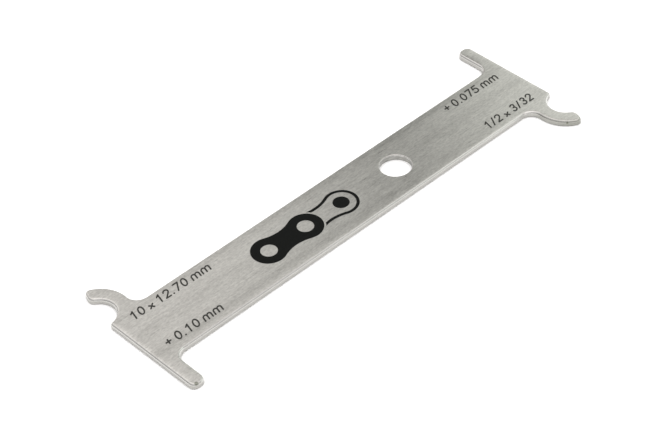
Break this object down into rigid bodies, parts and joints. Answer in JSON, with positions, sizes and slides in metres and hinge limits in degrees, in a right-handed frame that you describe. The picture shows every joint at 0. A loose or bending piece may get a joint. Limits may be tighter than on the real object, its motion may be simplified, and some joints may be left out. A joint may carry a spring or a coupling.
{
  "type": "chain wear gauge",
  "caption": "Flat stainless steel go / no-go gauge for bicycle roller chain, with a roller hook and a straight prong at each end and a hanging hole.",
  "frame": {"origin": "under the centre of the plate, on the plane that the plain back face lies on", "axes": "+X along the plate towards the end with the 0.075 prong and the off-centre hanging hole, +Y across the plate towards that prong's tip, +Z out of the printed face"},
  "size_m": [0.1244, 0.0406, 0.0016],
  "materials": {
    "stainless_steel": "lengthwise brushed, edges tumbled smooth",
    "black_ink": "thin printed ink, satin"
  },
  "bodies": {
    "root": {"gauge_plate": "stainless_steel", "ink_wear_075": "black_ink", "ink_wear_100": "black_ink", "ink_gauge_length": "black_ink", "ink_chain_size": "black_ink", "ink_chain_emblem": "black_ink"}
  },
  "joints": []
}
